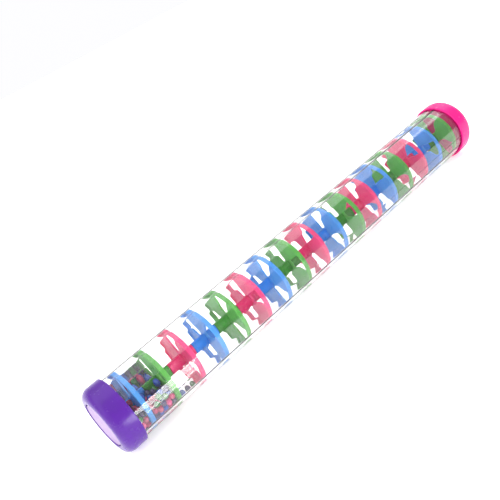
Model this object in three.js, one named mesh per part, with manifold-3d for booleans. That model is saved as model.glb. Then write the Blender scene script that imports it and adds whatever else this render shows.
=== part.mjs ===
// Rainstick: a clear tube closed by two glued caps, with a stack of baffle wheels and loose beads inside.
// Millimetres. The stick lies along X with its near cap at -X, +Z is up, and it rests on Z = 0.
// Everything is modelled in a local frame whose z runs along the tube, x is the row's Y and y is the row's Z.
import * as THREE from 'three';
import { mergeVertices } from 'three/addons/utils/BufferGeometryUtils.js';
import Module from 'manifold-3d';

const wasm = await Module();
wasm.setup();

// Driving dimensions.
const LENGTH = 397;            // over both caps
const CAP_RADIUS = 25;         // across the flats of the faceted cap
const CAP_LENGTH = 16;
const CAP_SIDES = 24;
const TUBE_RADIUS = 23.3;
const TUBE_WALL = 1.5;         // at the middle of the bore's flat sides
const TUBE_SIDES = 48;
const BORE_SIDES = 17;         // the bore has flat sides, though the tube is round outside
const BORE_TURN = 12.15;       // degrees that the bore is turned from having a flat side at the bottom
const WHEEL_COUNT = 17;
const PITCH = 21.8;            // from one wheel's web to the next
const GAP = 0.3;               // clearance between parts that touch

// End caps.
const END_WALL_FACE = 1.9;     // depth of the recess in the outer face
const INNER_FLOOR = 4.2;       // the tube's end stops here
const RECESS_RADIUS = 16.9;
const EDGE_ROUND = 5.5;        // big rounded outer edge
const LIP_CHAMFER = 0.7;
const BOSS_RADIUS = 6;
const INSET_THICKNESS = 1.2;
const INSET_CHAMFER = 0.3;

// Baffle wheels.
const WEB_THICKNESS = 1.5;
const WHEEL_CLEARANCE = 0.3;
const HUB_RADIUS = 4;
const HUB_SIDES = 12;
const PEG_RADIUS = 1.8;
const PEG_LENGTH = 4;
const RIM_WIDTH = 2.3;
const BAND_WIDTH = 3.4;        // the rim is a thin band, wider along the tube than the web is thick
const BAND_THICKNESS = 1.4;
const HUB_SHIFT = -1.6;        // the hubs' middles, from the webs, along the tube
const OPENING_COUNT = 3;
const OPENING_INNER_RADIUS = 5.4;
const OPENING_INNER_ANGLE = 22;  // degrees each side of an opening's middle, at the hub
const OPENING_OUTER_ANGLE = 21;  // the same, at the rim
const OUTLINE_STEPS = 36;
const OPENING_ARC_STEPS = 4;

// How far each wheel is turned: the direction of its first opening, in degrees from +Y towards +Z.
const WHEEL_TURNS = [100, 155, 85, 150, 103, 165, 103, 170, 118, 82, 150, 82, 122, 80, 135, 57, 95];
const WHEEL_COLOURS = ['blue', 'green', 'pink'];

// Beads.
const BEAD_RADIUS = 2.1;
const LOOSE_BEAD_COLOURS = ['magenta', 'blue', 'violet', 'green'];
const HEAP_CLEARANCE = 0.4;
const HEAP_ARC_STEPS = 24;
const NEAR_HEAP_LEVEL = 10.6;    // height of the heap's top above the tube's axis
const SECOND_HEAP_LEVEL = 8;

const TUBE_BORE = TUBE_RADIUS - TUBE_WALL;
const HALF_LENGTH = LENGTH / 2;
const TUBE_HALF_LENGTH = HALF_LENGTH - INNER_FLOOR - GAP;
const HUB_LENGTH = PITCH - GAP;
const BOSS_TOP = HALF_LENGTH - (WHEEL_COUNT * PITCH - GAP) / 2 - GAP;

const MATERIALS = {
  clear: { color: 0xeef3f6, roughness: 0.05, metalness: 0, transparent: true, opacity: 0.25 },
  purple: { color: 0x6f35b0, roughness: 0.35, metalness: 0 },
  pinkCap: { color: 0xff3ca0, roughness: 0.35, metalness: 0 },
  lavender: { color: 0xd9c6e6, roughness: 0.5, metalness: 0 },
  palePink: { color: 0xf6c4dc, roughness: 0.5, metalness: 0 },
  blue: { color: 0x2e86e0, roughness: 0.3, metalness: 0 },
  green: { color: 0x4fae4a, roughness: 0.3, metalness: 0 },
  pink: { color: 0xee2f78, roughness: 0.3, metalness: 0 },
  magenta: { color: 0xc01a6a, roughness: 0.2, metalness: 0 },
  violet: { color: 0x3a1f6e, roughness: 0.2, metalness: 0 },
  beads: { color: 0x7a3f86, roughness: 0.3, metalness: 0 },
};

function named(name, geometry, materialName) {
  const mesh = new THREE.Mesh(geometry, new THREE.MeshStandardMaterial(MATERIALS[materialName]));
  mesh.name = name;
  return mesh;
}

function toSolid(geometry) {
  const bare = geometry.clone();
  bare.deleteAttribute('normal');
  bare.deleteAttribute('uv');
  const merged = mergeVertices(bare);
  return new wasm.Manifold(new wasm.Mesh({
    numProp: 3,
    vertProperties: new Float32Array(merged.attributes.position.array),
    triVerts: new Uint32Array(merged.index.array),
  }));
}

function toGeometry(solid) {
  const mesh = solid.getMesh();
  const geometry = new THREE.BufferGeometry();
  geometry.setAttribute('position', new THREE.BufferAttribute(new Float32Array(mesh.vertProperties), 3));
  geometry.setIndex(new THREE.BufferAttribute(new Uint32Array(mesh.triVerts), 1));
  geometry.computeVertexNormals();
  return geometry;
}

// A turned shape about z from [radius, height] pairs. Radii are across the flats, and a flat faces down.
function turned(profile, sides) {
  const toCorner = 1 / Math.cos(Math.PI / sides);
  const points = profile.map(([radius, height]) => new THREE.Vector2(radius * toCorner, height));
  return new THREE.LatheGeometry(points, sides, Math.PI / sides).rotateX(Math.PI / 2);
}

function rod(radius, from, to, sides) {
  return turned([[0, from], [radius, from], [radius, to], [0, to]], sides);
}

function arcPoints(radius, fromDegrees, toDegrees, steps) {
  const points = [];
  for (let step = 0; step <= steps; step += 1) {
    const angle = THREE.MathUtils.degToRad(THREE.MathUtils.lerp(fromDegrees, toDegrees, step / steps));
    points.push(new THREE.Vector2(radius * Math.cos(angle), radius * Math.sin(angle)));
  }
  return points;
}

// A flat plate of the given outline and holes, centred on z = middle.
function plate(outline, holes, thickness, middle) {
  const shape = new THREE.Shape(outline);
  shape.holes = holes.map((hole) => new THREE.Path(hole));
  const geometry = new THREE.ExtrudeGeometry(shape, { depth: thickness, bevelEnabled: false });
  return geometry.translate(0, 0, middle - thickness / 2);
}

function makeTube() {
  const half = TUBE_HALF_LENGTH;
  const outside = toSolid(rod(TUBE_RADIUS, -half, half, TUBE_SIDES));
  const bore = rod(TUBE_BORE, -half - 1, half + 1, BORE_SIDES).rotateZ(THREE.MathUtils.degToRad(BORE_TURN));
  return named('clear_tube', toGeometry(outside.subtract(toSolid(bore))), 'clear');
}

// A cup over the tube's end, with a recess outside and a boss inside that carries the stack of wheels.
// The near cap's boss ends in a peg, and the far cap's boss has a socket. Height 0 is the outer face.
function makeCap(name, materialName, hasPeg) {
  const bossTop = hasPeg ? BOSS_TOP + HUB_SHIFT : BOSS_TOP - HUB_SHIFT;
  const profile = [[0, END_WALL_FACE], [RECESS_RADIUS, END_WALL_FACE], [RECESS_RADIUS, 0]];
  for (let step = 0; step <= 5; step += 1) {
    const angle = (step / 5) * (Math.PI / 2);
    const radius = CAP_RADIUS - EDGE_ROUND + EDGE_ROUND * Math.sin(angle);
    profile.push([radius, EDGE_ROUND * (1 - Math.cos(angle))]);
  }
  profile.push(
    [CAP_RADIUS, CAP_LENGTH - LIP_CHAMFER],
    [CAP_RADIUS - LIP_CHAMFER, CAP_LENGTH],
    [TUBE_RADIUS + GAP, CAP_LENGTH],
    [TUBE_RADIUS + GAP, INNER_FLOOR],
    [BOSS_RADIUS, INNER_FLOOR],
    [BOSS_RADIUS, bossTop],
  );
  if (hasPeg) {
    profile.push([PEG_RADIUS, bossTop], [PEG_RADIUS, bossTop + PEG_LENGTH], [0, bossTop + PEG_LENGTH]);
  } else {
    const socket = PEG_RADIUS + GAP;
    const socketFloor = bossTop - PEG_LENGTH - GAP;
    profile.push([socket, bossTop], [socket, socketFloor], [0, socketFloor]);
  }
  return named(name, turned(profile, CAP_SIDES), materialName);
}

function makeInset(name, materialName) {
  const back = END_WALL_FACE - GAP;
  const front = back - INSET_THICKNESS;
  const radius = RECESS_RADIUS - GAP;
  const profile = [
    [0, front],
    [radius - INSET_CHAMFER, front],
    [radius, front + INSET_CHAMFER],
    [radius, back],
    [0, back],
  ];
  return named(name, turned(profile, CAP_SIDES), materialName);
}

// One fan-shaped opening, narrow at the hub and wide at the rim.
function openingOutline(middleDegrees) {
  const outerRadius = TUBE_BORE - WHEEL_CLEARANCE - RIM_WIDTH;
  const outer = arcPoints(
    outerRadius,
    middleDegrees - OPENING_OUTER_ANGLE,
    middleDegrees + OPENING_OUTER_ANGLE,
    OPENING_ARC_STEPS,
  );
  const inner = arcPoints(
    OPENING_INNER_RADIUS,
    middleDegrees + OPENING_INNER_ANGLE,
    middleDegrees - OPENING_INNER_ANGLE,
    2,
  );
  return [...outer, ...inner];
}

// A thin web with a hub through it and a band round its rim. The hub's socket faces -z and its peg faces +z.
function makeWheel(index) {
  const turn = WHEEL_TURNS[index];
  const outline = arcPoints(TUBE_BORE - WHEEL_CLEARANCE, 0, 360, OUTLINE_STEPS).slice(0, -1);
  const holes = [];
  for (let opening = 0; opening < OPENING_COUNT; opening += 1) {
    holes.push(openingOutline(turn + (360 / OPENING_COUNT) * opening));
  }
  const inside = arcPoints(TUBE_BORE - WHEEL_CLEARANCE - BAND_THICKNESS, 0, 360, OUTLINE_STEPS).slice(0, -1);
  const low = HUB_SHIFT - HUB_LENGTH / 2;
  const high = HUB_SHIFT + HUB_LENGTH / 2;
  const web = toSolid(plate(outline, holes, WEB_THICKNESS, 0));
  const band = toSolid(plate(outline, [inside], BAND_WIDTH, 0));
  const hub = toSolid(rod(HUB_RADIUS, low, high, HUB_SIDES));
  const peg = toSolid(rod(PEG_RADIUS, high - 1, high + PEG_LENGTH, HUB_SIDES));
  const socket = toSolid(rod(PEG_RADIUS + GAP, low - 1, low + PEG_LENGTH + GAP, HUB_SIDES));
  const solid = web.add(band).add(hub).add(peg).subtract(socket);
  const number = String(index + 1).padStart(2, '0');
  const colour = WHEEL_COLOURS[index % WHEEL_COLOURS.length];
  return named(`baffle_wheel_${number}`, toGeometry(solid), colour);
}

function wheelPlace(index) {
  return (index - (WHEEL_COUNT - 1) / 2) * PITCH;
}

// The outer shape of a heap of beads that fills its chamber up to a level, clear of the hub inside it.
function makeHeap(name, from, to, level, hubRadius) {
  const radius = TUBE_BORE - HEAP_CLEARANCE;
  const side = THREE.MathUtils.radToDeg(Math.asin(level / radius));
  const outline = arcPoints(radius, 180 - side, 360 + side, HEAP_ARC_STEPS);
  const middle = (from + to) / 2;
  const heap = toSolid(plate(outline, [], to - from, middle));
  const core = toSolid(rod(hubRadius + HEAP_CLEARANCE, from - 1, to + 1, HUB_SIDES));
  return named(name, toGeometry(heap.subtract(core)), 'beads');
}

function makeLooseBead(index) {
  const bead = new THREE.SphereGeometry(BEAD_RADIUS, 10, 7);
  const mesh = named(`loose_bead_${index + 1}`, bead, LOOSE_BEAD_COLOURS[index]);
  const room = PITCH - BAND_WIDTH;
  const spacing = room / LOOSE_BEAD_COLOURS.length;
  const along = wheelPlace(1) + BAND_WIDTH / 2 + spacing * (index + 0.5);
  mesh.position.set(0, -(TUBE_BORE - BEAD_RADIUS - GAP), along);
  return mesh;
}

const stick = new THREE.Group();
stick.add(makeTube());

const nearEnd = new THREE.Group();
nearEnd.position.z = -HALF_LENGTH;
nearEnd.add(makeCap('near_cap', 'purple', true));
nearEnd.add(makeInset('near_end_disc', 'lavender'));
stick.add(nearEnd);

const farEnd = new THREE.Group();
farEnd.position.z = HALF_LENGTH;
farEnd.rotation.y = Math.PI;
farEnd.add(makeCap('far_cap', 'pinkCap', false));
farEnd.add(makeInset('far_end_disc', 'palePink'));
stick.add(farEnd);

for (let index = 0; index < WHEEL_COUNT; index += 1) {
  const wheel = makeWheel(index);
  wheel.position.z = wheelPlace(index);
  stick.add(wheel);
}

const wheelSide = BAND_WIDTH / 2 + HEAP_CLEARANCE;
const nearFloor = -HALF_LENGTH + INNER_FLOOR + HEAP_CLEARANCE;
const nearHeapEnd = wheelPlace(0) - wheelSide;
stick.add(makeHeap('near_chamber_beads', nearFloor, nearHeapEnd, NEAR_HEAP_LEVEL, BOSS_RADIUS));
const secondStart = wheelPlace(0) + wheelSide;
const secondEnd = wheelPlace(1) - wheelSide;
stick.add(makeHeap('second_chamber_beads', secondStart, secondEnd, SECOND_HEAP_LEVEL, HUB_RADIUS));

for (let index = 0; index < LOOSE_BEAD_COLOURS.length; index += 1) {
  stick.add(makeLooseBead(index));
}

// Lay the local z along the row's X, local x along Y and local y along Z, resting on Z = 0.
const layDown = new THREE.Matrix4().makeBasis(
  new THREE.Vector3(0, 1, 0),
  new THREE.Vector3(0, 0, 1),
  new THREE.Vector3(1, 0, 0),
);
stick.quaternion.setFromRotationMatrix(layDown);
stick.position.z = CAP_RADIUS;

const rainstick = new THREE.Group();
rainstick.add(stick);

export default rainstick;
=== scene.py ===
# A clear-tube rainstick on a pale floor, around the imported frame.
import math

import bpy
import bmesh
import numpy as np
from mathutils import Matrix, Vector
from mathutils.geometry import tessellate_polygon


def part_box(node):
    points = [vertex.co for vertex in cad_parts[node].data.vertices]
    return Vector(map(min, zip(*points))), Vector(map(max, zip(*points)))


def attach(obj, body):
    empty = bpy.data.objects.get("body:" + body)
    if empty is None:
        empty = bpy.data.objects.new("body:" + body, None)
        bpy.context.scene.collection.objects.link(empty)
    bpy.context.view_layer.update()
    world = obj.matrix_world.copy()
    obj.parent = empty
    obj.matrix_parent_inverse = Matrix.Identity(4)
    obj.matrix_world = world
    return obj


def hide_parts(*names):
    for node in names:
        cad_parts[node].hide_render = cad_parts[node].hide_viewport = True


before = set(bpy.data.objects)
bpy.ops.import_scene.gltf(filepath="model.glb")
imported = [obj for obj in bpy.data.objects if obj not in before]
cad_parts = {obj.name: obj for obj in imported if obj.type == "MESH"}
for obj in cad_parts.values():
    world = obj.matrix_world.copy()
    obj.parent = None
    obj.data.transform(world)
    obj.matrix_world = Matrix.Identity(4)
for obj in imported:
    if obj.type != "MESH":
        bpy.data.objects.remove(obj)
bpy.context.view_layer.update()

MM = 0.001

# ---------------------------------------------------------------- sizes
TUBE_LOW, TUBE_HIGH = (Vector(corner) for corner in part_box("clear_tube"))
NEAR_LOW = Vector(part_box("near_cap")[0])
FAR_HIGH = Vector(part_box("far_cap")[1])
WHEEL_NODES = sorted(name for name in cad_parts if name.startswith("baffle_wheel"))
AXIS_Z = (TUBE_LOW.z + TUBE_HIGH.z) / 2
TUBE_RADIUS = 23.3 * MM
TUBE_WALL = 1.5 * MM
TUBE_BORE = TUBE_RADIUS - TUBE_WALL   # to the middle of the bore's flat sides
BORE_SIDES = 17
BORE_TURN = 17.44                     # degrees from +Y to the first corner between two flat sides
CORNER_CUT = 0.32 * MM                # the bore's corners stop this far outside its flat sides
CAP_RADIUS = 25 * MM
CAP_LENGTH = 16 * MM
RECESS_RADIUS = 16.9 * MM
RECESS_DEPTH = 1.9 * MM
INNER_FLOOR = 4.2 * MM
EDGE_ROUND = 6.8 * MM
BOSS_RADIUS = 6 * MM
PITCH = 21.8 * MM
GAP = 0.3 * MM
HUB_RADIUS = 4 * MM
PEG_RADIUS = 1.8 * MM
PEG_LENGTH = 4 * MM
WEB_THICKNESS = 1.5 * MM
BAND_WIDTH = 3.4 * MM
BAND_THICKNESS = 1.4 * MM
HUB_SHIFT = -1.6 * MM
WHEEL_RADIUS = TUBE_BORE - 0.3 * MM
OPENING_OUTER = WHEEL_RADIUS - 2.3 * MM
OPENING_INNER = 5.4 * MM
OPENING_INNER_ANGLE = 22
OPENING_OUTER_ANGLE = 21
WHEEL_TURNS = [100, 155, 85, 150, 103, 165, 103, 170, 118, 82, 150, 82, 122, 80, 135, 57, 95]
WHEEL_COLOURS = ["blue", "green", "pink"]
WHEEL_COUNT = 17
MIDDLE_WHEEL = 8                      # index of the wheel at the stick's middle
BEAD_RADIUS = 2.1 * MM
NEAR_HEAP_BEADS = 240
NEAR_HEAP_LEVEL = 10.6 * MM           # height above the axis that the beads are poured to
SECOND_HEAP_BEADS = 228
SECOND_HEAP_LEVEL = 8 * MM
HEAP_TILT = math.radians(15)          # each heap's top slopes, higher at the back (+Y) than at the front
SHAKES = 420
LAST_PULL = 320                       # the shake after which nothing pulls the beads down any more
BOUNCES_BEFORE_CLEAR = 6              # light that has bounced more often than this passes the tube unbent
FLOOR_REACH = 6.0
CARD_CORNERS = [(-0.16, -0.088), (-0.115, -0.088), (0.05, -0.60), (-0.16, -0.60)]
CARD_HEIGHT = 2 * MM
# How bright the surroundings are from the back horizon (0) over the top to the front horizon (1).
SKY_STOPS = [
    (0.0, 0.8),
    (0.06, 0.7),
    (0.12, 0.34),
    (0.24, 0.34),
    (0.28, 0.95),
    (0.53, 0.95),
    (0.56, 0.3),
    (0.97, 0.3),
    (1.0, 0.3),
]
SKY_STRENGTH = 1.9


# ---------------------------------------------------------------- camera
CAMERA_PLACE = (-0.2523, -0.3637, 0.2350)
CAMERA_HEADING = 29.57   # degrees from +Y towards +X
CAMERA_DIP = 23.33       # degrees below level
CAMERA_ROLL = 26.8       # degrees, the horizon falls to the right
CAMERA_LENS = 45.55      # millimetres on a 36 mm sensor


def make_camera():
    data = bpy.data.cameras.new("camera")
    data.lens = CAMERA_LENS
    data.sensor_width = 36.0
    data.clip_start = 0.01
    camera = bpy.data.objects.new("camera", data)
    bpy.context.scene.collection.objects.link(camera)
    heading = math.radians(CAMERA_HEADING)
    dip = math.radians(CAMERA_DIP)
    forward = Vector((math.sin(heading) * math.cos(dip), math.cos(heading) * math.cos(dip), -math.sin(dip)))
    level = forward.to_track_quat("-Z", "Y").to_matrix()
    roll = Matrix.Rotation(math.radians(-CAMERA_ROLL), 3, "Z")
    camera.matrix_world = Matrix.Translation(CAMERA_PLACE) @ (level @ roll).to_4x4()
    bpy.context.scene.camera = camera


# ---------------------------------------------------------------- mesh builders
def turned_shell(profile, segments=128):
    """Corners and faces of a closed turned solid about the stick's axis, from (radius, x) pairs."""
    corners = []
    rings = []
    for radius, x in profile:
        start = len(corners)
        count = 1 if radius == 0 else segments
        for step in range(count):
            angle = math.tau * step / segments
            corners.append((x, radius * math.cos(angle), AXIS_Z + radius * math.sin(angle)))
        rings.append([start + step for step in range(count)])
    pairs = list(zip(rings, rings[1:]))
    if len(rings[0]) > 1 and len(rings[-1]) > 1:
        pairs.append((rings[-1], rings[0]))
    faces = []
    for first, second in pairs:
        for step in range(segments):
            after = (step + 1) % segments
            around = [
                first[step % len(first)],
                first[after % len(first)],
                second[after % len(second)],
                second[step % len(second)],
            ]
            face = list(dict.fromkeys(around))
            if len(face) > 2:
                faces.append(face)
    return corners, faces


def inset_loop(loop, distance):
    """The loop moved towards its left by a distance."""
    moved = []
    for index, point in enumerate(loop):
        before = (point - loop[index - 1]).normalized()
        after = (loop[(index + 1) % len(loop)] - point).normalized()
        along = (before + after).normalized()
        left = Vector((-along.y, along.x))
        moved.append(point + left * distance)
    return moved


def plate_shell(loops, x, thickness, bevel):
    """A flat plate across the stick at x, with softened edges.

    The first loop runs anticlockwise, and the holes run clockwise."""
    half = thickness / 2
    inner = [inset_loop(loop, bevel) for loop in loops]
    layers = [(inner, half), (loops, half - bevel), (loops, -half + bevel), (inner, -half)]
    corners = []
    faces = []
    for drawn, height in layers:
        for loop in drawn:
            corners.extend((x + height, point.x, AXIS_Z + point.y) for point in loop)
    per_layer = sum(len(loop) for loop in loops)
    triangles = tessellate_polygon([[Vector((point.x, point.y, 0)) for point in loop] for loop in inner])
    for triangle in triangles:
        faces.append(list(triangle))
        faces.append([index + 3 * per_layer for index in reversed(triangle)])
    for layer in range(3):
        start = 0
        for loop in loops:
            count = len(loop)
            for step in range(count):
                first = layer * per_layer + start + step
                second = layer * per_layer + start + (step + 1) % count
                faces.append([first, second, second + per_layer, first + per_layer])
            start += count
    return corners, faces


def solid_piece(name, shells, materials):
    """One piece from closed shells, each with the index of its material."""
    mesh = bpy.data.meshes.new(name)
    work = bmesh.new()
    for corners, faces, material_index in shells:
        placed = [work.verts.new(corner) for corner in corners]
        made = []
        for face in faces:
            made.append(work.faces.new([placed[index] for index in face]))
            made[-1].material_index = material_index
        bmesh.ops.recalc_face_normals(work, faces=made)
    work.to_mesh(mesh)
    work.free()
    for material in materials:
        mesh.materials.append(material)
    for polygon in mesh.polygons:
        polygon.use_smooth = True
    mesh.set_sharp_from_angle(angle=math.radians(32))
    piece = bpy.data.objects.new(name, mesh)
    bpy.context.scene.collection.objects.link(piece)
    return piece


# ---------------------------------------------------------------- materials
def linear(red, green, blue):
    """A colour given in everyday 0 to 255 steps, as linear light."""
    result = []
    for part in (red, green, blue):
        share = part / 255
        result.append(share / 12.92 if share <= 0.04045 else ((share + 0.055) / 1.055) ** 2.4)
    return (result[0], result[1], result[2], 1.0)


def scaled(colour, factor):
    return (colour[0] * factor, colour[1] * factor, colour[2] * factor, 1.0)


def speckle(tree, scale, low, high, detail=3.0):
    """Noise in the object's own space, squeezed into a range."""
    nodes, links = tree.nodes, tree.links
    place = nodes.new("ShaderNodeTexCoord")
    noise = nodes.new("ShaderNodeTexNoise")
    noise.inputs["Scale"].default_value = scale
    noise.inputs["Detail"].default_value = detail
    links.new(place.outputs["Object"], noise.inputs["Vector"])
    spread = nodes.new("ShaderNodeMapRange")
    spread.inputs["From Min"].default_value = 0.3
    spread.inputs["From Max"].default_value = 0.7
    spread.inputs["To Min"].default_value = low
    spread.inputs["To Max"].default_value = high
    links.new(noise.outputs["Fac"], spread.inputs["Value"])
    return spread.outputs["Result"]


def plastic(name, colour, roughness=0.3, translucency=0.0, grain=0.04, specular=0.5):
    """Coloured moulded plastic: slightly cloudy colour, uneven gloss and a fine mould texture."""
    material = bpy.data.materials.new(name)
    material.use_nodes = True
    tree = material.node_tree
    nodes, links = tree.nodes, tree.links
    shader = nodes["Principled BSDF"]
    shader.inputs["Specular IOR Level"].default_value = specular
    cloud = speckle(tree, 70.0, 0.0, 1.0)
    tint = nodes.new("ShaderNodeMix")
    tint.data_type = "RGBA"
    tint.inputs["A"].default_value = scaled(colour, 0.93)
    tint.inputs["B"].default_value = scaled(colour, 1.07)
    links.new(cloud, tint.inputs["Factor"])
    links.new(tint.outputs["Result"], shader.inputs["Base Color"])
    links.new(speckle(tree, 240.0, roughness * 0.85, roughness * 1.2), shader.inputs["Roughness"])
    bump = nodes.new("ShaderNodeBump")
    bump.inputs["Strength"].default_value = grain
    bump.inputs["Distance"].default_value = 0.0004
    links.new(speckle(tree, 1400.0, 0.0, 1.0, 1.0), bump.inputs["Height"])
    links.new(bump.outputs["Normal"], shader.inputs["Normal"])
    last = shader.outputs[0]
    if translucency > 0:
        through = nodes.new("ShaderNodeBsdfTranslucent")
        links.new(tint.outputs["Result"], through.inputs["Color"])
        mix = nodes.new("ShaderNodeMixShader")
        mix.inputs[0].default_value = translucency
        links.new(last, mix.inputs[1])
        links.new(through.outputs[0], mix.inputs[2])
        last = mix.outputs[0]
    links.new(last, nodes["Material Output"].inputs["Surface"])
    return material


def clear_plastic():
    """The tube: polished clear plastic. Light that has already bounced many times goes straight on."""
    material = bpy.data.materials.new("clear_plastic")
    material.use_nodes = True
    tree = material.node_tree
    nodes, links = tree.nodes, tree.links
    shader = nodes["Principled BSDF"]
    shader.inputs["Base Color"].default_value = (1, 1, 1, 1)
    shader.inputs["Roughness"].default_value = 0.0
    shader.inputs["IOR"].default_value = 1.49
    shader.inputs["Transmission Weight"].default_value = 1.0
    haze = speckle(tree, 30.0, 0.0, 1.0)
    tint = nodes.new("ShaderNodeMix")
    tint.data_type = "RGBA"
    tint.inputs["A"].default_value = (0.985, 0.99, 0.99, 1)
    tint.inputs["B"].default_value = (1, 1, 1, 1)
    links.new(haze, tint.inputs["Factor"])
    links.new(tint.outputs["Result"], shader.inputs["Base Color"])
    clear = nodes.new("ShaderNodeBsdfTransparent")
    path = nodes.new("ShaderNodeLightPath")
    deep = nodes.new("ShaderNodeMath")
    deep.operation = "GREATER_THAN"
    deep.inputs[1].default_value = BOUNCES_BEFORE_CLEAR
    links.new(path.outputs["Ray Depth"], deep.inputs[0])
    passes = nodes.new("ShaderNodeMath")
    passes.operation = "MAXIMUM"
    links.new(path.outputs["Is Shadow Ray"], passes.inputs[0])
    links.new(deep.outputs[0], passes.inputs[1])
    mix = nodes.new("ShaderNodeMixShader")
    links.new(passes.outputs[0], mix.inputs[0])
    links.new(shader.outputs[0], mix.inputs[1])
    links.new(clear.outputs[0], mix.inputs[2])
    links.new(mix.outputs[0], nodes["Material Output"].inputs["Surface"])
    return material


# ---------------------------------------------------------------- tube
def make_tube():
    """A round tube whose bore has flat sides, so its wall is a row of weak lenses."""
    low, high = TUBE_LOW.x, TUBE_HIGH.x
    lip = 0.4 * MM
    stations = [
        (0.0, True, low + lip),
        (lip, True, low),
        (lip, False, low),
        (0.0, False, low + lip),
        (0.0, False, high - lip),
        (lip, False, high),
        (lip, True, high),
        (0.0, True, high - lip),
    ]
    segments = 12 * BORE_SIDES
    corners = []
    for inset, is_bore, x in stations:
        for step in range(segments):
            degrees = BORE_TURN + 360 * step / segments
            radius = TUBE_RADIUS - inset
            if is_bore:
                off_middle = (360 * step / segments) % (360 / BORE_SIDES) - 180 / BORE_SIDES
                sharp = TUBE_BORE / math.cos(math.radians(off_middle))
                radius = min(sharp, TUBE_BORE + CORNER_CUT) + inset
            angle = math.radians(degrees)
            corners.append((x, radius * math.cos(angle), AXIS_Z + radius * math.sin(angle)))
    faces = []
    for ring in range(len(stations)):
        after = (ring + 1) % len(stations)
        for step in range(segments):
            following = (step + 1) % segments
            faces.append([
                ring * segments + step,
                ring * segments + following,
                after * segments + following,
                after * segments + step,
            ])
    piece = solid_piece("clear_tube_shell", [(corners, faces, 0)], [clear_plastic()])
    piece.data.set_sharp_from_angle(angle=math.radians(15))
    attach(piece, "stick")
    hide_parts("clear_tube")


# ---------------------------------------------------------------- caps
def rounded(centre, radius, start, end, steps):
    """(radius, depth) points of an arc in the profile plane, angles in degrees from outward towards depth."""
    points = []
    for step in range(steps + 1):
        angle = math.radians(start + (end - start) * step / steps)
        points.append((centre[0] + radius * math.cos(angle), centre[1] + radius * math.sin(angle)))
    return points


def make_cap(node, outer_face, direction, colour, has_peg):
    """A cup over the tube's end. Depth is measured from the outer face, inwards."""
    boss_top = abs(outer_face) - (WHEEL_COUNT * PITCH - GAP) / 2 - GAP + direction * HUB_SHIFT
    lip = 0.9 * MM
    inner_edge = 0.9 * MM
    groove = RECESS_RADIUS - 1.5 * MM
    profile = [(0, RECESS_DEPTH), (groove, RECESS_DEPTH), (groove, RECESS_DEPTH + 1.1 * MM)]
    profile += [(RECESS_RADIUS, RECESS_DEPTH + 1.1 * MM)]
    profile += rounded((RECESS_RADIUS + inner_edge, inner_edge), inner_edge, 180, 270, 6)
    profile += rounded((CAP_RADIUS - EDGE_ROUND, EDGE_ROUND), EDGE_ROUND, -90, 0, 16)
    profile += rounded((CAP_RADIUS - lip, CAP_LENGTH - lip), lip, 0, 90, 6)
    bore = TUBE_RADIUS + GAP * 0.5
    profile += [(bore + 0.3 * MM, CAP_LENGTH), (bore, CAP_LENGTH - 0.3 * MM), (bore, INNER_FLOOR)]
    boss_edge = 0.4 * MM
    profile += [(BOSS_RADIUS, INNER_FLOOR), (BOSS_RADIUS, boss_top - boss_edge)]
    profile += [(BOSS_RADIUS - boss_edge, boss_top)]
    if has_peg:
        profile += [(PEG_RADIUS, boss_top), (PEG_RADIUS, boss_top + PEG_LENGTH), (0, boss_top + PEG_LENGTH)]
    else:
        socket = PEG_RADIUS + GAP
        floor = boss_top - PEG_LENGTH - GAP
        profile += [(socket, boss_top), (socket, floor), (0, floor)]
    placed = [(radius, outer_face + direction * depth) for radius, depth in profile]
    corners, faces = turned_shell(placed, 160)
    material = plastic(node + "_plastic", colour, roughness=0.24, grain=0.03, specular=0.3)
    piece = solid_piece(node + "_smooth", [(corners, faces, 0)], [material])
    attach(piece, "stick")
    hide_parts(node)


def make_end_disc(node, outer_face, direction, colour):
    """A slightly domed disc set into the cap's recess."""
    radius = RECESS_RADIUS - 0.85 * MM
    back = RECESS_DEPTH - GAP
    front = back - 1.2 * MM
    dome = 0.3 * MM
    profile = [(0, front - dome)]
    for step in range(1, 9):
        share = step / 8
        reach = (radius - 0.5 * MM) * share
        profile.append((reach, front - dome * (1 - share ** 2)))
    profile += [(radius - 0.15 * MM, front + 0.15 * MM), (radius, front + 0.5 * MM)]
    profile += [(radius, back), (0, back)]
    placed = [(reach, outer_face + direction * depth) for reach, depth in profile]
    corners, faces = turned_shell(placed, 128)
    material = plastic(node + "_finish", colour, roughness=0.45, grain=0.12)
    piece = solid_piece(node + "_smooth", [(corners, faces, 0)], [material])
    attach(piece, "stick")
    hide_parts(node)


# ---------------------------------------------------------------- baffle wheels
def polar(radius, degrees):
    angle = math.radians(degrees)
    return Vector((radius * math.cos(angle), radius * math.sin(angle)))


def soften(corner_points, reach, steps=4):
    """Rounds the marked corners of a loop of (point, is_corner)."""
    result = []
    count = len(corner_points)
    for index, (point, is_corner) in enumerate(corner_points):
        if not is_corner:
            result.append(point)
            continue
        before = corner_points[index - 1][0]
        after = corner_points[(index + 1) % count][0]
        start = point + (before - point).normalized() * min(reach, (before - point).length * 0.45)
        end = point + (after - point).normalized() * min(reach, (after - point).length * 0.45)
        for step in range(steps + 1):
            share = step / steps
            result.append(start * (1 - share) ** 2 + point * 2 * share * (1 - share) + end * share ** 2)
    return result


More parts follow.
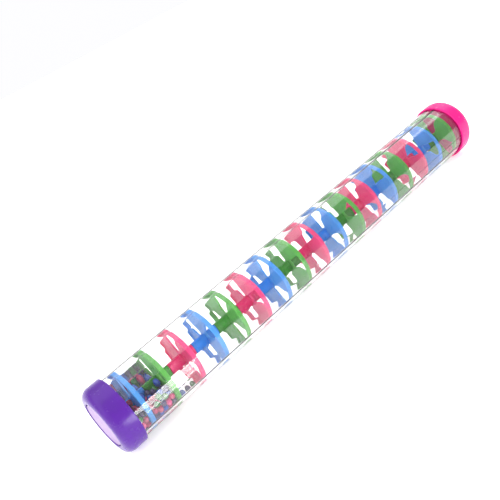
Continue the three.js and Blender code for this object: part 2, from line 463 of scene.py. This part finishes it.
def opening_loop(middle):
    """One fan-shaped opening, clockwise."""
    marked = [(polar(OPENING_OUTER, middle + OPENING_OUTER_ANGLE), True)]
    for step in range(1, 12):
        offset = OPENING_OUTER_ANGLE * (1 - 2 * step / 12)
        marked.append((polar(OPENING_OUTER, middle + offset), False))
    marked.append((polar(OPENING_OUTER, middle - OPENING_OUTER_ANGLE), True))
    marked.append((polar(OPENING_INNER, middle - OPENING_INNER_ANGLE), True))
    marked.append((polar(OPENING_INNER, middle), False))
    marked.append((polar(OPENING_INNER, middle + OPENING_INNER_ANGLE), True))
    return soften(marked, 0.9 * MM)


def make_wheel(index, node, web_material, hub_material):
    """One moulding: a web with three openings, a band round its rim and a hub with a peg and a socket."""
    x = (index - MIDDLE_WHEEL) * PITCH
    turn = WHEEL_TURNS[index]
    rim = [polar(WHEEL_RADIUS - 0.4 * MM, step * 3) for step in range(120)]
    holes = [opening_loop(turn + 120 * opening) for opening in range(3)]
    web = plate_shell([rim] + holes, x, WEB_THICKNESS, 0.25 * MM)
    band_edge = 0.35 * MM
    inside = WHEEL_RADIUS - BAND_THICKNESS
    reach = BAND_WIDTH / 2
    band = turned_shell([
        (inside, x - reach + band_edge),
        (inside + band_edge, x - reach),
        (WHEEL_RADIUS - band_edge, x - reach),
        (WHEEL_RADIUS, x - reach + band_edge),
        (WHEEL_RADIUS, x + reach - band_edge),
        (WHEEL_RADIUS - band_edge, x + reach),
        (inside + band_edge, x + reach),
        (inside, x + reach - band_edge),
    ], 144)
    half = (PITCH - GAP) / 2
    socket = PEG_RADIUS + GAP
    edge = 0.25 * MM
    low, high = x + HUB_SHIFT - half, x + HUB_SHIFT + half
    hub = turned_shell([
        (0, low + PEG_LENGTH + GAP),
        (socket, low + PEG_LENGTH + GAP),
        (socket, low),
        (HUB_RADIUS - edge, low),
        (HUB_RADIUS, low + edge),
        (HUB_RADIUS, high - edge),
        (HUB_RADIUS - edge, high),
        (PEG_RADIUS, high),
        (PEG_RADIUS, high + PEG_LENGTH),
        (0, high + PEG_LENGTH),
    ], 64)
    # The web and the band take the web material, whose paler colour is painted light for light shining
    # through the thin web.
    piece = solid_piece(node + "_smooth", [(*web, 0), (*hub, 1), (*band, 0)], [web_material, hub_material])
    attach(piece, "stick")
    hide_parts(node)


# ---------------------------------------------------------------- beads
def bead_template(segments, rings, radius):
    """A round bead, flattened a little at its two mould poles."""
    corners = [(0, 0, radius * 0.985)]
    for ring in range(1, rings):
        tilt = math.pi * ring / rings
        for step in range(segments):
            around = math.tau * step / segments
            corners.append((
                radius * math.sin(tilt) * math.cos(around),
                radius * math.sin(tilt) * math.sin(around),
                radius * math.cos(tilt) * 0.985,
            ))
    corners.append((0, 0, -radius * 0.985))
    faces = []
    for step in range(segments):
        after = (step + 1) % segments
        faces.append([0, 1 + step, 1 + after])
        for ring in range(rings - 2):
            first = 1 + ring * segments
            second = first + segments
            faces.append([first + step, second + step, second + after, first + after])
        last = 1 + (rings - 2) * segments
        faces.append([last + after, last + step, len(corners) - 1])
    return np.array(corners), faces


def settle(count, low, high, level, boss_end, seed):
    """Centres of beads poured into one chamber and shaken down, in the row frame."""
    chance = np.random.default_rng(seed)
    reach = TUBE_BORE - 0.15 * MM - BEAD_RADIUS
    span = (low + BEAD_RADIUS, high - BEAD_RADIUS)
    down = np.array([math.sin(HEAP_TILT), -math.cos(HEAP_TILT)])
    centres = np.zeros((count, 3))
    filled = 0
    while filled < count:
        spot = chance.uniform((span[0], -reach, -reach), (span[1], reach, reach))
        height = -spot[1] * down[0] - spot[2] * down[1]
        if math.hypot(spot[1], spot[2]) < reach and height < level - BEAD_RADIUS:
            centres[filled] = spot
            filled += 1
    for shake in range(SHAKES):
        centres[:, 1:] += down * max(0.0, 0.3 * (1 - shake / LAST_PULL)) * MM
        for _ in range(2):
            between = centres[:, None, :] - centres[None, :, :]
            distance = np.sqrt((between ** 2).sum(-1)) + np.eye(count)
            overlap = np.clip(2 * BEAD_RADIUS * 1.005 - distance, 0, None)
            push = between / distance[..., None] * overlap[..., None] * 0.5
            centres += push.sum(1) * 0.75
            centres[:, 0] = np.clip(centres[:, 0], *span)
            radial = np.hypot(centres[:, 1], centres[:, 2])
            core = np.where(centres[:, 0] - BEAD_RADIUS < boss_end, BOSS_RADIUS, HUB_RADIUS)
            wanted = np.clip(radial, core + BEAD_RADIUS + 0.05 * MM, reach)
            centres[:, 1:] *= (wanted / np.maximum(radial, 1e-6))[:, None]
    centres[:, 2] += AXIS_Z
    return centres


BEAD_COLOURS = {
    "magenta": linear(165, 12, 80),
    "blue": linear(18, 72, 165),
    "violet": linear(36, 12, 72),
    "green": linear(25, 100, 38),
    "pink": linear(205, 60, 125),
}


def bead_piece(name, corners, faces, material):
    mesh = bpy.data.meshes.new(name)
    mesh.from_pydata(corners, [], faces)
    mesh.polygons.foreach_set("use_smooth", [True] * len(mesh.polygons))
    mesh.materials.append(material)
    piece = bpy.data.objects.new(name, mesh)
    bpy.context.scene.collection.objects.link(piece)
    return piece


def make_heap(body, node, label, count, low, high, level, boss_end, seed, materials):
    """One piece for each colour of bead, all on the heap's body. The first stands in for the plain heap."""
    centres = settle(count, low, high, level, boss_end, seed)
    chance = np.random.default_rng(seed + 1)
    names = list(BEAD_COLOURS)
    picked = chance.choice(len(names), size=count, p=[0.24, 0.22, 0.26, 0.14, 0.14])
    template, faces = bead_template(14, 9, BEAD_RADIUS)
    faces = np.array([face if len(face) == 4 else face + [-1] for face in faces])
    for colour_index, colour_name in enumerate(names):
        mine = centres[picked == colour_index]
        corners = []
        all_faces = []
        for place in mine:
            turn = Matrix.Rotation(chance.uniform(0, math.tau), 3, Vector(chance.normal(size=3)))
            start = len(corners)
            corners.extend((template @ np.array(turn).T + place).tolist())
            for face in faces:
                all_faces.append([int(index) + start for index in face if index >= 0])
        piece = bead_piece(label + "_" + colour_name, corners, all_faces, materials[colour_name])
        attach(piece, body)
        if colour_index == 0:
            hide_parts(node)


def make_loose_bead(index, materials):
    colour_name = ["magenta", "blue", "violet", "green"][index]
    node = "loose_bead_%d" % (index + 1)
    low, high = (Vector(corner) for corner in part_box(node))
    centre = np.array((low + high) / 2)
    template, faces = bead_template(28, 18, BEAD_RADIUS)
    piece = bead_piece(node + "_smooth", (template + centre).tolist(), faces, materials[colour_name])
    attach(piece, "bead_%d" % (index + 1))
    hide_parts(node)


# ---------------------------------------------------------------- studio
def flat_sheet(name, outline, height):
    mesh = bpy.data.meshes.new(name)
    mesh.from_pydata([(x, y, height) for x, y in outline], [], [(0, 1, 2, 3)])
    sheet = bpy.data.objects.new(name, mesh)
    bpy.context.scene.collection.objects.link(sheet)
    return sheet


def make_floor():
    """A plain pale floor, a hair below the caps."""
    reach = FLOOR_REACH
    outline = [(-reach, -reach), (reach, -reach), (reach, reach), (-reach, reach)]
    floor = flat_sheet("floor", outline, NEAR_LOW.z - 0.0002)
    material = bpy.data.materials.new("pale_floor")
    material.use_nodes = True
    tree = material.node_tree
    shader = tree.nodes["Principled BSDF"]
    shader.inputs["Base Color"].default_value = (0.85, 0.85, 0.85, 1)
    shader.inputs["Roughness"].default_value = 0.9
    shader.inputs["Specular IOR Level"].default_value = 0.1
    shader.inputs["Emission Color"].default_value = (1, 1, 1, 1)
    shader.inputs["Emission Strength"].default_value = 0.6
    tree.links.new(speckle(tree, 20.0, 0.88, 0.92), shader.inputs["Roughness"])
    floor.data.materials.append(material)


def make_card():
    """A bright card lying on the floor in front of the near end."""
    card = flat_sheet("card", CARD_CORNERS, CARD_HEIGHT)
    material = bpy.data.materials.new("bright_card")
    material.use_nodes = True
    shader = material.node_tree.nodes["Principled BSDF"]
    shader.inputs["Base Color"].default_value = (0.9, 0.9, 0.9, 1)
    shader.inputs["Emission Color"].default_value = (1, 1, 1, 1)
    shader.inputs["Emission Strength"].default_value = 11.0
    card.data.materials.append(material)


def make_lamp(name, place, size, power):
    """A soft lamp aimed at the stick's middle, seen neither directly nor in reflections."""
    data = bpy.data.lights.new(name, "AREA")
    data.shape = "RECTANGLE"
    data.size, data.size_y = size
    data.energy = power
    lamp = bpy.data.objects.new(name, data)
    lamp.location = place
    lamp.rotation_euler = (-Vector(place)).to_track_quat("-Z", "Y").to_euler()
    lamp.visible_glossy = False
    lamp.visible_camera = False
    bpy.context.scene.collection.objects.link(lamp)


def make_world():
    """Bright overhead and behind and dark in front. Seen directly, it is one plain pale tone."""
    world = bpy.data.worlds.new("world")
    world.use_nodes = True
    tree = world.node_tree
    nodes, links = tree.nodes, tree.links
    place = nodes.new("ShaderNodeTexCoord")
    split = nodes.new("ShaderNodeSeparateXYZ")
    links.new(place.outputs["Generated"], split.inputs[0])
    angle = nodes.new("ShaderNodeMath")
    angle.operation = "ARCTAN2"
    links.new(split.outputs["Z"], angle.inputs[0])
    links.new(split.outputs["Y"], angle.inputs[1])
    share = nodes.new("ShaderNodeMath")
    share.operation = "DIVIDE"
    share.inputs[1].default_value = math.pi
    links.new(angle.outputs[0], share.inputs[0])
    ramp = nodes.new("ShaderNodeValToRGB")
    while len(ramp.color_ramp.elements) < len(SKY_STOPS):
        ramp.color_ramp.elements.new(0.5)
    for element, (position, value) in zip(ramp.color_ramp.elements, SKY_STOPS):
        element.position = position
        element.color = (value, value, value, 1)
    links.new(share.outputs[0], ramp.inputs[0])
    path = nodes.new("ShaderNodeLightPath")
    plain = nodes.new("ShaderNodeMix")
    plain.data_type = "RGBA"
    plain.inputs["B"].default_value = (0.52, 0.52, 0.53, 1)
    links.new(path.outputs["Is Camera Ray"], plain.inputs["Factor"])
    links.new(ramp.outputs[0], plain.inputs["A"])
    links.new(plain.outputs["Result"], nodes["Background"].inputs["Color"])
    nodes["Background"].inputs["Strength"].default_value = SKY_STRENGTH
    bpy.context.scene.world = world


make_camera()
make_tube()
make_cap("near_cap", NEAR_LOW.x, 1, linear(80, 31, 140), True)
make_cap("far_cap", FAR_HIGH.x, -1, linear(235, 30, 130), False)
make_end_disc("near_end_disc", NEAR_LOW.x, 1, linear(158, 130, 178))
make_end_disc("far_end_disc", FAR_HIGH.x, -1, linear(230, 160, 200))

# Each wheel is one plastic. The web's colour is set paler than the hub's as painted light, standing in for
# light shining through the thin web; the hub's deeper colour is the plastic's own.
wheel_colours = {
    "blue": (linear(82, 174, 238), linear(14, 132, 226)),
    "green": (linear(102, 192, 82), linear(46, 142, 24)),
    "pink": (linear(242, 74, 148), linear(222, 16, 108)),
}
wheel_materials = {}
for colour_name, (web_colour_with_painted_backlight, hub_colour) in wheel_colours.items():
    wheel_materials[colour_name] = (
        plastic("web_" + colour_name, web_colour_with_painted_backlight, roughness=0.3, translucency=0.5),
        plastic("hub_" + colour_name, hub_colour, roughness=0.25, translucency=0.3),
    )
for index, node in enumerate(WHEEL_NODES):
    make_wheel(index, node, *wheel_materials[WHEEL_COLOURS[index % 3]])

bead_materials = {}
for bead_colour, colour in BEAD_COLOURS.items():
    bead_materials[bead_colour] = plastic("bead_" + bead_colour, colour, roughness=0.12)
near_low = NEAR_LOW.x + INNER_FLOOR + 0.2 * MM
first_wheel = -MIDDLE_WHEEL * PITCH
boss_end = first_wheel + HUB_SHIFT - (PITCH - GAP) / 2 - GAP
side = BAND_WIDTH / 2 + 0.1 * MM
no_boss = -1.0
make_heap("near_heap", "near_chamber_beads", "near_beads", NEAR_HEAP_BEADS, near_low, first_wheel - side,
          NEAR_HEAP_LEVEL, boss_end, 11, bead_materials)
make_heap("second_heap", "second_chamber_beads", "second_beads", SECOND_HEAP_BEADS, first_wheel + side,
          first_wheel + PITCH - side, SECOND_HEAP_LEVEL, no_boss, 23, bead_materials)
for index in range(4):
    make_loose_bead(index, bead_materials)

make_floor()
make_card()
make_world()
make_lamp("overhead_fill", (-0.15, -0.4, 0.9), (1.2, 0.8), 4.0)
make_lamp("near_fill", (-1.1, -0.35, 0.45), (0.7, 0.7), 5.0)
make_lamp("far_fill", (1.1, 0.35, 0.45), (0.7, 0.7), 4.0)

scene = bpy.context.scene
scene.view_settings.view_transform = "Standard"
scene.cycles.transparent_max_bounces = 32
scene.cycles.transmission_bounces = 16
scene.cycles.max_bounces = 20
scene.cycles.caustics_reflective = False
scene.cycles.caustics_refractive = True
